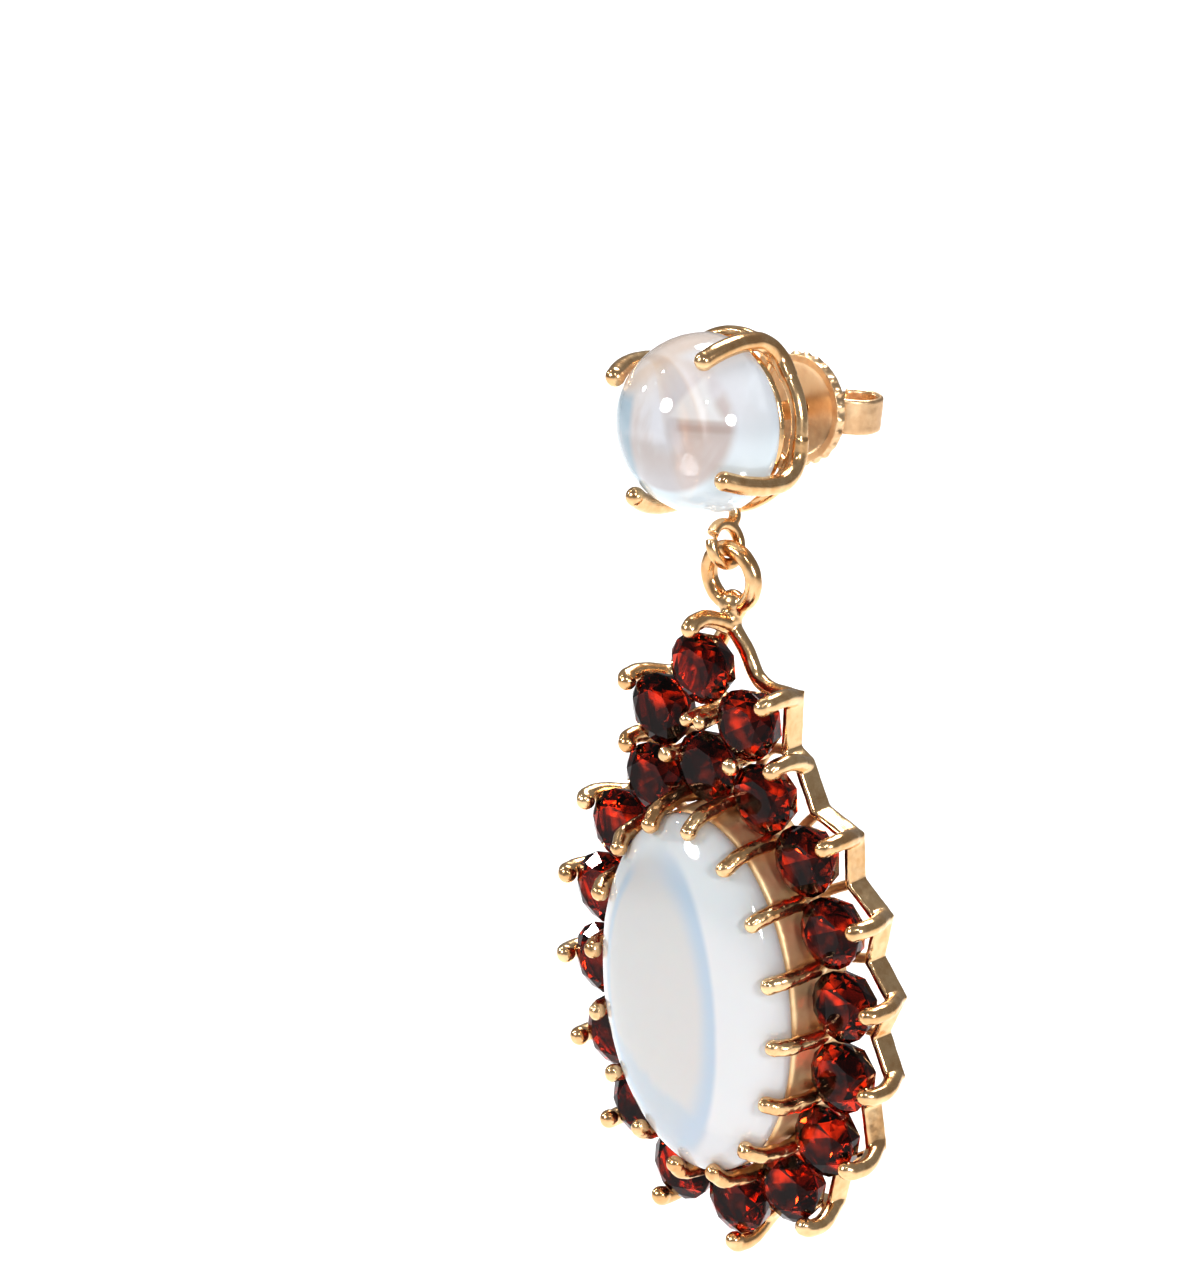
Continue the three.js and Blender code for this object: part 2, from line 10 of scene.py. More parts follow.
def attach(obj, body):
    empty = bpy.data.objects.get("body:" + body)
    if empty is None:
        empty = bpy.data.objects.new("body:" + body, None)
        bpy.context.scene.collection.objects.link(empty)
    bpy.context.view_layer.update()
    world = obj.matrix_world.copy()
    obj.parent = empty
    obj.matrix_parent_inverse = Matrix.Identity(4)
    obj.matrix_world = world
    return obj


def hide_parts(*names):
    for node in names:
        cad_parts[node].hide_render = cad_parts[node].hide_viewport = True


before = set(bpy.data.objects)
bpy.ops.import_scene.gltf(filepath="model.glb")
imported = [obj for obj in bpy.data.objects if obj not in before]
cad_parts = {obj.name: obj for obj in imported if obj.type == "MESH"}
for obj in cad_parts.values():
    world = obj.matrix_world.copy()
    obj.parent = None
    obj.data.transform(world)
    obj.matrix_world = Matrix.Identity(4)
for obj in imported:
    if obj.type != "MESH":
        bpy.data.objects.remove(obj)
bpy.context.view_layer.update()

MM = 0.001

# Clearances
STONE_GAP = 0.04
POST_GAP = 0.06
LINK_GAP = 0.03

# Pose, in degrees
STUD_TURN = 15.5
CLUTCH_TURN = 5.5
DROP_TILT = 9.0

# Round cabochon of the stud
ROUND_RADIUS = 3.65
ROUND_DOME = 3.5
ROUND_BAND = 0.5

# Edge between a cabochon's band and its flat base, as shares of the band
BASE_EDGE_HEIGHT = 0.3
BASE_EDGE_INSET = 0.1

# Basket of the stud
STUD_PRONG_WIRE = 0.8
STUD_PRONG_COUNT = 4
STUD_PRONG_REACH = 33.0
STUD_PRONG_SWEEP = 24.0
STUD_PRONG_WAY = [
    {"sweep": 0.4, "stand": 0.3, "depth": 0.94},
    {"sweep": 0.06, "stand": 0.91, "depth": 0.5},
]
STUD_PRONG_BEND = [0.35, 0.7, 1.0]
STUD_PRONG_HEAD = 1.02
FRONT_RAIL_WIRE = 0.42
FRONT_RAIL_INSET = 0.35
REAR_RAIL_WIRE = 0.7
REAR_RAIL_INSET = 0.25
REAR_RAIL_DEPTH = 1.35
REAR_RAIL_DIP = 0.5
REAR_RAIL_DIP_POWER = 6
STRUT_WIRE = 0.6
STRUT_DEPTH = 0.5

# Post, lobe and clutch, measured behind the round stone's girdle
POST_DIAMETER = 0.8
POST_LENGTH = 6.8
POST_END_FLATTEN = 0.66
LOBE_DEPTH = 4.0
CLUTCH_DEPTH = 5.5

# Butterfly clutch
PAD_RADIUS = 2.2
PAD_THICKNESS = 0.5
PAD_RIM = 0.3
PAD_DISH = 0.2
PAD_BEADS = 24
PAD_BEAD = 0.44
PAD_BEAD_SINK = 0.22
PAD_BEAD_STRETCH = 1.1
SCROLL_SHEET = 0.25
SCROLL_HEIGHT = 1.45
SCROLL_WIDTH = 1.75
SCROLL_DEPTH = 2.6
SCROLL_PATH = [(0.1, -0.06), (0.5, 0.08), (0.88, 0.32), (0.96, 0.66), (0.68, 0.93), (0.26, 0.93), (0.0, 0.68)]

# Small loop under the stud and the ring that hangs in it
LOOP_RADIUS = 0.81
LOOP_WIRE = 0.5
LOOP_DROP = 1.24
LOOP_GAP_START = 144.0
LOOP_GAP_END = 160.0
STEM_ANGLE = 60.0
RING_RADIUS = 1.18
RING_WIRE = 0.7
RING_SETBACK = 1.97
NECK_WIRE = 0.95
NECK_HEIGHT = 0.1
NECK_SOLDER = 1.3
NECK_SOLDER_FLATTEN = 0.8

# Oval cabochon of the drop
OVAL_HALF_WIDTH = 4.75
OVAL_HALF_HEIGHT = 7.5
OVAL_DOME = 2.1
OVAL_BAND = 0.3
OVAL_SET_FORWARD = 1.45

# Garnets
GARNET_COUNT = 16
GARNET_GAP = 0.06
GARNET_TO_OVAL = 0.1
GARNET_SET_FORWARD = 0.3
TABLE_SHARE = 0.62
CROWN_HEIGHT = 0.46
GIRDLE_HEIGHT = 0.08

# Wall and zigzag strip behind the garnets
WALL_THICKNESS = 0.38
WALL_PROUD = 0.03
GALLERY_FRONT = 0.95
GALLERY_BACK = 2.05
STRIP_THICKNESS = 0.34
STRIP_OUTER = 1.38
STRIP_INNER = 0.45
BRACE_WIRE = 0.46
SPINE_WIRE = 0.5
SHOULDER_WIRE = 0.66
SHOULDER_BOW = (0.5, 0.2)
SHOULDER_DIP = (0.95, -0.6)

# Prongs of the drop
INNER_PRONG_WIRE = 0.7
INNER_PRONG_ROOT = 0.9
INNER_PRONG_ROOT_WIDTH = 0.4
INNER_PRONG_REACH = 19.0
PRONG_HEAD = 1.05
OUTER_PRONG_WIRE = 0.74
OUTER_PRONG_BITE = 0.98
OUTER_PRONG_BEND = 0.8
SIDE_POINTER_ANGLE = 38.0
CENTRE_PRONG_WIRE = 0.66
CENTRE_PRONG_TIP = 0.55
GAP_PRONG_WIRE = 0.42
GAP_PRONG_HEAD = 0.78
GAP_PRONG_TIP = 0.45
GAP_PRONG_FLATTEN = 0.9

# How many points a rail, a ring and the wall are drawn through
RAIL_STEPS = 28
RING_STEPS = 16
WALL_STEPS = 96

# How finely the stones, the solder heads and the pad are meshed
STONE_SEGMENTS = 128
STONE_RINGS = 96
HEAD_SEGMENTS = 20
HEAD_RINGS = 12
PAD_SEGMENTS = 96
DISH_RINGS = 64
BORE_SEGMENTS = 48

# Voxels that fuse soldered wires into one skin, and the passes that smooth it
STUD_VOXEL = 0.055
CLUTCH_VOXEL = 0.045
WALL_VOXEL = 0.1
FRAME_VOXEL = 0.07
CLAW_VOXEL = 0.065
SKIN_SMOOTHING = 2
CLAW_SMOOTHING = 3

# Length and height of the uneven swells that casting leaves in the metal
SWELL_LENGTH = 0.6
SWELL_HEIGHT = 0.04
STUD_SWELL_HEIGHT = 0.02
CLAW_SWELL_HEIGHT = 0.12

# Camera
CAMERA_AZIMUTH = 41.6
CAMERA_ELEVATION = 10.5
CAMERA_ROLL = -2.0
CAMERA_DISTANCE = 900.0
PIXELS_PER_MM = 25.05
PICTURE_HEIGHT = 1280
SENSOR = 36.0
LINK_POINT = (1.523, -4.0, -5.24)
CENTRE_FROM_LINK = (-5.473, -3.281)

# Studio: the floor, the point that the lights on the earring aim at, and the round lamps, with places and
# sizes in metres, power in watts and spread in degrees
FLOOR_HEIGHT = -0.075
FLOOR_RADIUS = 6.0
AIM = (0, 0, -0.015)
LAMPS = [
    {"name": "overhead", "place": (-0.1, 0.3, 0.8), "aim": (0, 0, 0), "size": 0.5, "power": 0.65,
     "spread": 70},
    {"name": "backdrop", "place": (-0.32, 0.4, 0.8), "aim": (-0.32, 0.42, 0), "size": 0.4, "power": 1.9,
     "spread": 100},
    {"name": "key", "place": (-0.3, -0.85, 0.36), "aim": AIM, "size": 0.28, "power": 0.32, "spread": 60},
    {"name": "side", "place": (0.9, -0.32, 0.22), "aim": AIM, "size": 0.25, "power": 0.35, "spread": 60},
    {"name": "window", "place": (0.5, -0.64, 0.58), "aim": AIM, "size": 0.06, "power": 0.08, "spread": 60},
    {"name": "far_window", "place": (-0.8, -0.35, 0.35), "aim": AIM, "size": 0.08, "power": 0.12,
     "spread": 60},
    {"name": "high_window", "place": (-0.585, -0.28, 0.62), "aim": AIM, "size": 0.045, "power": 0.05,
     "spread": 60},
]
WORLD_STRENGTH = 0.26
VIEW_GAMMA = 0.78
VIEW_EXPOSURE = 0.26


# Places: the stud turns about its post, and the drop hangs by the top of its ring
def oval_normal(angle):
    normal = Vector((OVAL_HALF_HEIGHT * math.sin(angle), 0, OVAL_HALF_WIDTH * math.cos(angle)))
    return normal.normalized()


def offset_oval(angle, out, depth=0.0):
    edge = Vector((OVAL_HALF_WIDTH * math.sin(angle), 0, OVAL_HALF_HEIGHT * math.cos(angle)))
    point = edge + oval_normal(angle) * out
    point.y = depth
    return point


class OvalLine:
    """The line a fixed distance outside the oval stone's edge, clockwise from its top, measured by length."""

    STEPS = 1600

    def __init__(self, out):
        self.angles = [2 * math.pi * i / self.STEPS for i in range(self.STEPS + 1)]
        points = [offset_oval(angle, out) for angle in self.angles]
        self.reached = [0.0]
        for before, after in zip(points, points[1:]):
            self.reached.append(self.reached[-1] + (after - before).length)
        self.length = self.reached[-1]

    def angle_at(self, turns):
        wanted = (turns % 1.0) * self.length
        for i in range(self.STEPS):
            if self.reached[i + 1] >= wanted:
                share = (wanted - self.reached[i]) / (self.reached[i + 1] - self.reached[i])
                return self.angles[i] + share * (self.angles[i + 1] - self.angles[i])
        return 0.0


GARNET_DIAMETER = (OvalLine(GARNET_TO_OVAL).length / GARNET_COUNT - GARNET_GAP) / (1 - math.pi / GARNET_COUNT)
GARNET_RADIUS = GARNET_DIAMETER / 2
GARNET_PITCH = GARNET_DIAMETER + GARNET_GAP
GARNET_LINE_OUT = GARNET_TO_OVAL + GARNET_RADIUS
GARNET_LINE = OvalLine(GARNET_LINE_OUT)


def oval_angle_at(place):
    """Angle on the oval of a place counted in garnets, clockwise from the top one."""
    return GARNET_LINE.angle_at(place / GARNET_COUNT)


def oval_point(place, out, depth):
    return offset_oval(oval_angle_at(place), out, depth)


def apex_above(left, right):
    half = (right - left) / 2
    out = Vector((-half.z, 0, half.x)).normalized()
    return left + half + out * math.sqrt(GARNET_PITCH ** 2 - half.length_squared)


def mirrored(point):
    return Vector((-point.x, point.y, point.z))


TOP_OF_RING = oval_point(0, GARNET_LINE_OUT, -GARNET_SET_FORWARD)
NEXT_IN_RING = oval_point(1, GARNET_LINE_OUT, -GARNET_SET_FORWARD)
SIDE_GARNET = apex_above(TOP_OF_RING, NEXT_IN_RING)
CROWN_RISE = math.sqrt(GARNET_PITCH ** 2 - SIDE_GARNET.x ** 2)
CROWN_GARNET = Vector((0, -GARNET_SET_FORWARD, SIDE_GARNET.z + CROWN_RISE))
GAP_CENTRE = (TOP_OF_RING + NEXT_IN_RING + SIDE_GARNET) / 3
POINTER_RISE = math.radians(SIDE_POINTER_ANGLE)
SIDE_POINTER = Vector((math.cos(POINTER_RISE), 0, math.sin(POINTER_RISE)))

OUTER_PRONG_STAND = GARNET_RADIUS + STONE_GAP + OUTER_PRONG_WIRE / 2
RING_FOOT = CROWN_GARNET.z + OUTER_PRONG_STAND + NECK_HEIGHT
RING_TOP = Vector((0, RING_SETBACK, RING_FOOT + 2 * RING_RADIUS))
GALLERY_MIDDLE = (GALLERY_FRONT + GALLERY_BACK) / 2
SHOULDER_DEPTH = GALLERY_BACK - SHOULDER_WIRE / 2
FRONT_RAIL_RADIUS = ROUND_RADIUS - FRONT_RAIL_INSET
FRONT_RAIL_DEPTH = ROUND_BAND + STONE_GAP + FRONT_RAIL_WIRE / 2
REAR_RAIL_RADIUS = ROUND_RADIUS - REAR_RAIL_INSET
REAR_DEPTH = ROUND_BAND + REAR_RAIL_DEPTH
POST_FOOT = REAR_DEPTH + STRUT_DEPTH
LOOP_CENTRE = Vector((0, 0, -(ROUND_RADIUS + LOOP_DROP)))

STUD_TURNED = Matrix.Rotation(-math.radians(STUD_TURN), 4, "Y")
LOOP_BOTTOM = STUD_TURNED @ (LOOP_CENTRE - Vector((0, 0, LOOP_RADIUS)))
PIVOT = LOOP_BOTTOM + Vector((0, -LOBE_DEPTH, LOOP_WIRE / 2 + LINK_GAP + RING_WIRE / 2))
STUD_PLACE = Matrix.Translation((0, -LOBE_DEPTH, 0)) @ STUD_TURNED
CLUTCH_PLACE = (Matrix.Translation((0, CLUTCH_DEPTH - LOBE_DEPTH, 0))
                @ Matrix.Rotation(math.radians(CLUTCH_TURN), 4, "Y"))
DROP_PLACE = (Matrix.Translation(PIVOT) @ Matrix.Rotation(math.radians(DROP_TILT), 4, "X")
              @ Matrix.Translation(-RING_TOP))


# Modelling
def select_only(*things):
    bpy.ops.object.select_all(action="DESELECT")
    for thing in things:
        thing.select_set(True)
    if things:
        bpy.context.view_layer.objects.active = things[0]


def to_mesh(thing):
    select_only(thing)
    bpy.ops.object.convert(target="MESH")
    return bpy.context.object


def apply_modifier(thing, kind, **settings):
    select_only(thing)
    modifier = thing.modifiers.new(kind.title(), kind)
    for name, value in settings.items():
        setattr(modifier, name, value)
    bpy.ops.object.modifier_apply(modifier=modifier.name)


def strands(paths, diameter):
    """Round wires as one mesh: a path is a list of (point, width share) pairs, and 'closed' marks a ring."""
    select_only()
    bpy.ops.curve.primitive_bezier_curve_add()
    thing = bpy.context.object
    curve = thing.data
    curve.splines.clear()
    curve.dimensions = "3D"
    curve.bevel_depth = diameter / 2
    curve.bevel_resolution = 6
    curve.resolution_u = 8
    curve.use_fill_caps = True
    for path in paths:
        closed = path[-1] == "closed"
        knots = path[:-1] if closed else path
        spline = curve.splines.new("BEZIER")
        spline.bezier_points.add(len(knots) - 1)
        for place, (point, width) in zip(spline.bezier_points, knots):
            place.co = point
            place.radius = width
            place.handle_left_type = "AUTO"
            place.handle_right_type = "AUTO"
        spline.use_cyclic_u = closed
    return to_mesh(thing)


def even(points, width=1.0):
    return [(point, width) for point in points]


def heads(centres, diameter, flatten=1.0):
    """Round solder heads, flattened front to back."""
    made = []
    for centre in centres:
        select_only()
        bpy.ops.mesh.primitive_uv_sphere_add(segments=HEAD_SEGMENTS, ring_count=HEAD_RINGS,
                                             radius=diameter / 2, location=centre)
        made.append(bpy.context.object)
        made[-1].scale = (1, flatten, 1)
    return made


def ribbon(outline, thickness, front, back):
    """A closed band of sheet metal with rounded edges: outline in X and Z, width from front to back."""
    select_only()
    bpy.ops.curve.primitive_bezier_curve_add()
    thing = bpy.context.object
    curve = thing.data
    curve.splines.clear()
    curve.dimensions = "2D"
    curve.fill_mode = "NONE"
    curve.bevel_depth = thickness / 2
    curve.bevel_resolution = 3
    curve.extrude = (back - front - thickness) / 2
    spline = curve.splines.new("POLY")
    spline.points.add(len(outline) - 1)
    for place, point in zip(spline.points, outline):
        place.co = (point.x, point.z, 0, 1)
    spline.use_cyclic_u = True
    thing.rotation_euler = (math.radians(90), 0, 0)
    thing.location = (0, (front + back) / 2, 0)
    return to_mesh(thing)


def fuse(name, parts, voxel, smoothing=SKIN_SMOOTHING, swell=SWELL_HEIGHT):
    """Solders the parts into one skin, which swells a little in and out as cast metal does."""
    for part in parts:
        select_only(part)
        bpy.ops.object.transform_apply(location=True, rotation=True, scale=True)
    select_only(*parts)
    bpy.ops.object.join()
    whole = bpy.context.object
    whole.name = name
    apply_modifier(whole, "REMESH", mode="VOXEL", voxel_size=voxel)
    apply_modifier(whole, "SMOOTH", factor=0.5, iterations=smoothing)
    clouds = bpy.data.textures.new("swell", "CLOUDS")
    clouds.noise_scale = SWELL_LENGTH
    apply_modifier(whole, "DISPLACE", texture=clouds, strength=swell, mid_level=0.5, texture_coords="LOCAL")
    return whole


def finish_piece(piece, place, body, slot, material, *nodes):
    """Places a piece in metres, shades it, says what it rides on, and hides the solids that it stands for."""
    piece.data.transform(Matrix.Scale(MM, 4) @ place)
    select_only(piece)
    bpy.ops.object.shade_smooth()
    piece.data.materials.clear()
    piece.data.materials.append(material)
    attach(piece, body)
    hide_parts(*nodes)
    return piece


def cabochon(name, half_width, half_height, dome, band, girdle_depth, spin=0.0):
    """A domed stone with a flat base: half a ball, stretched, with a short band and a rounded base edge."""
    select_only()
    bpy.ops.mesh.primitive_uv_sphere_add(segments=STONE_SEGMENTS, ring_count=STONE_RINGS, radius=1)
    stone = bpy.context.object
    stone.name = name
    stone.rotation_euler = (math.radians(90), 0, 0)
    bpy.ops.object.transform_apply(rotation=True)
    stone.scale = (half_width, dome, half_height)
    bpy.ops.object.transform_apply(scale=True)
    bpy.ops.object.mode_set(mode="EDIT")
    bpy.ops.mesh.select_all(action="SELECT")
    bpy.ops.mesh.bisect(plane_co=(0, 0, 0), plane_no=(0, 1, 0), use_fill=True, clear_outer=True)
    for share in (1 - BASE_EDGE_HEIGHT, BASE_EDGE_HEIGHT):
        bpy.ops.mesh.extrude_region_move(TRANSFORM_OT_translate={"value": (0, band * share, 0)})
    shrink = 1 - BASE_EDGE_INSET * band
    bpy.ops.transform.resize(value=(shrink, 1, shrink), center_override=(0, 0, 0))
    bpy.ops.mesh.select_all(action="SELECT")
    bpy.ops.mesh.normals_make_consistent(inside=False)
    bpy.ops.object.mode_set(mode="OBJECT")
    map_face(stone, half_width, half_height, spin)
    stone.data.transform(Matrix.Translation((0, girdle_depth, 0)))
    return stone


def map_face(stone, half_width, half_height, spin):
    """Lays the stone's own map: its face seen from the front, -1 to 1 each way, turned by spin."""
    layer = stone.data.uv_layers.active
    turn = Matrix.Rotation(math.radians(spin), 4, "Y")
    for loop in stone.data.loops:
        place = turn @ stone.data.vertices[loop.vertex_index].co
        layer.data[loop.index].uv = (place.x / half_width, place.z / half_height)


# Stud
def basket_point(angle, radius, depth):
    return Vector((radius * math.cos(angle), depth, radius * math.sin(angle)))


def rear_rail_point(angle):
    low = max(0.0, -math.sin(angle)) ** REAR_RAIL_DIP_POWER
    return basket_point(angle, REAR_RAIL_RADIUS, REAR_DEPTH - REAR_RAIL_DIP * low)


def stud_prong_path(angle):
    side = 0.0 if math.cos(angle) > 0 else math.pi
    towards_side = math.copysign(1, math.sin(side - angle))
    sweep = math.radians(STUD_PRONG_SWEEP) * towards_side
    stand = ROUND_RADIUS + STONE_GAP + STUD_PRONG_WIRE / 2
    points = [rear_rail_point(angle + sweep)]
    for way in STUD_PRONG_WAY:
        radius = REAR_RAIL_RADIUS + (stand - REAR_RAIL_RADIUS) * way["stand"]
        points.append(basket_point(angle + sweep * way["sweep"], radius, REAR_DEPTH * way["depth"]))
    points.append(basket_point(angle, stand, 0))
    for share in STUD_PRONG_BEND:
        lift = math.radians(STUD_PRONG_REACH) * share
        depth = -ROUND_DOME * stand / ROUND_RADIUS * math.sin(lift)
        points.append(basket_point(angle, stand * math.cos(lift), depth))
    return points


def stud_basket():
    turns = [2 * math.pi * i / RAIL_STEPS for i in range(RAIL_STEPS)]
    corners = [2 * math.pi * (i + 0.5) / STUD_PRONG_COUNT for i in range(STUD_PRONG_COUNT)]
    prongs = [stud_prong_path(angle) for angle in corners]
    rear = even([rear_rail_point(turn) for turn in turns]) + ["closed"]
    front = even([basket_point(turn, FRONT_RAIL_RADIUS, FRONT_RAIL_DEPTH) for turn in turns]) + ["closed"]
    struts = [even([rear_rail_point(angle), Vector((0, POST_FOOT, 0))]) for angle in corners]
    loop_start = math.radians(LOOP_GAP_END)
    loop_sweep = math.radians(360 - (LOOP_GAP_END - LOOP_GAP_START))
    loop = []
    for i in range(RING_STEPS + 1):
        angle = loop_start + loop_sweep * i / RING_STEPS
        loop.append(LOOP_CENTRE + Vector((0, math.cos(angle), math.sin(angle))) * LOOP_RADIUS)
    shoulder = math.radians(STEM_ANGLE)
    stem = [
        LOOP_CENTRE + Vector((0, math.cos(shoulder), math.sin(shoulder))) * LOOP_RADIUS,
        Vector((0, ROUND_BAND + LOOP_WIRE / 2 + STONE_GAP, -(ROUND_RADIUS + STONE_GAP + LOOP_WIRE / 2))),
        Vector((0, FRONT_RAIL_DEPTH + FRONT_RAIL_WIRE / 2, -FRONT_RAIL_RADIUS - FRONT_RAIL_WIRE / 4)),
        rear_rail_point(-math.pi / 2),
    ]
    post_start = POST_FOOT - STRUT_WIRE / 2
    post_end = post_start + POST_LENGTH - POST_DIAMETER / 3
    post = even([Vector((0, post_start, 0)), Vector((0, post_end, 0))])
    parts = [
        strands([even(path) for path in prongs], STUD_PRONG_WIRE),
        strands([rear], REAR_RAIL_WIRE),
        strands([front], FRONT_RAIL_WIRE),
        strands(struts, STRUT_WIRE),
        strands([even(loop), even(stem)], LOOP_WIRE),
        strands([post], POST_DIAMETER),
    ]
    parts += heads([path[-1] for path in prongs], STUD_PRONG_WIRE * STUD_PRONG_HEAD)
    parts += heads([Vector((0, post_end, 0))], POST_DIAMETER, POST_END_FLATTEN)
    return fuse("stud_basket", parts, STUD_VOXEL, swell=STUD_SWELL_HEIGHT)


# Clutch, with the pad's front face at depth 0
def scroll(side):
    """One rolled scroll of flat strip, beside the post."""
    inside = POST_DIAMETER / 2 + POST_GAP + SCROLL_SHEET / 2
    path = [Vector((side * (inside + out * SCROLL_WIDTH), PAD_THICKNESS + back * SCROLL_DEPTH, 0))
            for out, back in SCROLL_PATH]
    select_only()
    bpy.ops.curve.primitive_bezier_curve_add()
    thing = bpy.context.object
    curve = thing.data
    curve.splines.clear()
    curve.dimensions = "2D"
    curve.fill_mode = "NONE"
    curve.use_fill_caps = True
    curve.resolution_u = 10
    curve.bevel_depth = SCROLL_SHEET / 2
    curve.bevel_resolution = 3
    curve.extrude = (SCROLL_HEIGHT - SCROLL_SHEET) / 2
    spline = curve.splines.new("BEZIER")
    spline.bezier_points.add(len(path) - 1)
    for place, point in zip(spline.bezier_points, path):
        place.co = (point.x, point.y, 0)
        place.handle_left_type = "AUTO"
        place.handle_right_type = "AUTO"
    return to_mesh(thing)


def clutch_butterfly():
    select_only()
    bpy.ops.mesh.primitive_cylinder_add(vertices=PAD_SEGMENTS, radius=PAD_RADIUS, depth=PAD_THICKNESS,
                                        location=(0, PAD_THICKNESS / 2, 0), rotation=(math.radians(90), 0, 0))
    pad = bpy.context.object
    bpy.ops.object.transform_apply(location=True, rotation=True)
    beads = []
    for i in range(PAD_BEADS):
        angle = 2 * math.pi * i / PAD_BEADS
        reach = PAD_RADIUS - PAD_BEAD * PAD_BEAD_SINK
        beads.append(Vector((reach * math.cos(angle), PAD_THICKNESS / 2, reach * math.sin(angle))))
    parts = [pad] + heads(beads, PAD_BEAD, PAD_BEAD_STRETCH)
    for side in (1, -1):
        parts.append(scroll(side))
    whole = fuse("clutch_butterfly", parts, CLUTCH_VOXEL)
    select_only()
    bpy.ops.mesh.primitive_uv_sphere_add(segments=PAD_SEGMENTS, ring_count=DISH_RINGS, radius=1)
    dish = bpy.context.object
    dish.scale = (PAD_RADIUS - PAD_RIM, PAD_DISH, PAD_RADIUS - PAD_RIM)
    bpy.ops.mesh.primitive_cylinder_add(vertices=BORE_SEGMENTS, radius=POST_DIAMETER / 2 + POST_GAP,
                                        depth=3 * SCROLL_DEPTH, rotation=(math.radians(90), 0, 0))
    bore = bpy.context.object
    for cutter in (dish, bore):
        apply_modifier(whole, "BOOLEAN", object=cutter, operation="DIFFERENCE", solver="EXACT")
        bpy.data.objects.remove(cutter)
    return whole


# Drop
def garnet_places():
    """Centre and outward direction of every garnet, ring first."""
    places = []
    for i in range(GARNET_COUNT):
        angle = oval_angle_at(i)
        places.append((offset_oval(angle, GARNET_LINE_OUT, -GARNET_SET_FORWARD), oval_normal(angle)))
    places.append((mirrored(SIDE_GARNET), mirrored(SIDE_POINTER)))
    places.append((SIDE_GARNET, SIDE_POINTER))
    places.append((CROWN_GARNET, Vector((0, 0, 1))))
    return places


def strip_half():
    side_corner = SIDE_GARNET + SIDE_POINTER * STRIP_OUTER
    between = (SIDE_GARNET + NEXT_IN_RING) / 2
    towards = (SIDE_GARNET - NEXT_IN_RING).normalized()
    notch = between + Vector((towards.z, 0, -towards.x)) * STRIP_INNER
    points = [Vector((0, 0, SIDE_GARNET.z)), side_corner, notch]
    for i in range(1, GARNET_COUNT // 2):
        points.append(oval_point(i, GARNET_LINE_OUT + STRIP_OUTER, 0))
        points.append(oval_point(i + 0.5, GARNET_LINE_OUT + STRIP_INNER, 0))
    points.append(oval_point(GARNET_COUNT / 2, GARNET_LINE_OUT + STRIP_OUTER, 0))
    return points


def oval_claw(place, lift, clear):
    angle = oval_angle_at(place)
    rise = math.radians(lift)
    x = OVAL_HALF_WIDTH * math.sin(angle) * math.cos(rise)
    z = OVAL_HALF_HEIGHT * math.cos(angle) * math.cos(rise)
    y = -OVAL_DOME * math.sin(rise)
    normal = Vector((x / OVAL_HALF_WIDTH ** 2, y / OVAL_DOME ** 2, z / OVAL_HALF_HEIGHT ** 2)).normalized()
    return Vector((x, y - OVAL_SET_FORWARD - OVAL_BAND, z)) + normal * clear


def crown_claw(bite, diameter):
    """Where a claw rests on a garnet's crown: distance from its axis and depth."""
    table = GARNET_RADIUS * TABLE_SHARE
    slope = Vector((GARNET_RADIUS - table, CROWN_HEIGHT)).normalized()
    radius = GARNET_RADIUS * bite
    height = CROWN_HEIGHT * (GARNET_RADIUS - radius) / (GARNET_RADIUS - table) + GIRDLE_HEIGHT / 2
    clear = STONE_GAP + diameter / 2
    return radius + clear * slope.y, -GARNET_SET_FORWARD - height - clear * slope.x


def outer_prong_path(centre, outward):
    def at(radius, depth):
        point = centre + outward * radius
        point.y = depth
        return point
    reach, depth = crown_claw(OUTER_PRONG_BITE, OUTER_PRONG_WIRE)
    bend = reach + (OUTER_PRONG_STAND - reach) * OUTER_PRONG_BEND
    return [
        at(STRIP_OUTER - STRIP_THICKNESS / 2, GALLERY_BACK - STRIP_THICKNESS),
        at(OUTER_PRONG_STAND, GALLERY_FRONT - OUTER_PRONG_WIRE),
        at(OUTER_PRONG_STAND, -GARNET_SET_FORWARD),
        at(bend, depth * OUTER_PRONG_BEND),
        at(reach, depth),
    ]


def drop_frame():
    """Zigzag strip with the outer claws on its points, the two shoulders and the hanging ring."""
    half = strip_half()
    other_half = [mirrored(point) for point in reversed(half[1:-1])]
    claws = [outer_prong_path(*place) for place in garnet_places()[1:]]
    neck_bottom = Vector((0, SHOULDER_DEPTH, CROWN_GARNET.z + STRIP_OUTER))
    ring_bottom = Vector((0, RING_SETBACK, RING_FOOT))
    bow, dip = [Vector((GARNET_RADIUS * out, SHOULDER_DEPTH, CROWN_GARNET.z + GARNET_RADIUS * up))
                for out, up in (SHOULDER_BOW, SHOULDER_DIP)]
    corner = half[1].copy()
    corner.y = GALLERY_MIDDLE
    shoulders = []
    for turned in (lambda point: point, mirrored):
        shoulders.append(even([turned(point) for point in (neck_bottom, bow, dip, corner)]))
    ring_centre = RING_TOP - Vector((0, 0, RING_RADIUS))
    ring = [ring_centre + Vector((math.cos(turn), 0, math.sin(turn))) * RING_RADIUS
            for turn in [2 * math.pi * i / RING_STEPS for i in range(RING_STEPS)]]
    parts = [
        ribbon(half + other_half, STRIP_THICKNESS, GALLERY_FRONT, GALLERY_BACK),
        strands([even(path) for path in claws], OUTER_PRONG_WIRE),
        strands(shoulders, SHOULDER_WIRE),
        strands([even([neck_bottom, ring_bottom])], NECK_WIRE),
        strands([even(ring) + ["closed"]], RING_WIRE),
    ]
    parts += heads([path[-1] for path in claws], OUTER_PRONG_WIRE * PRONG_HEAD)
    parts += heads([ring_bottom], NECK_SOLDER, NECK_SOLDER_FLATTEN)
    return fuse("drop_frame", parts, FRAME_VOXEL)


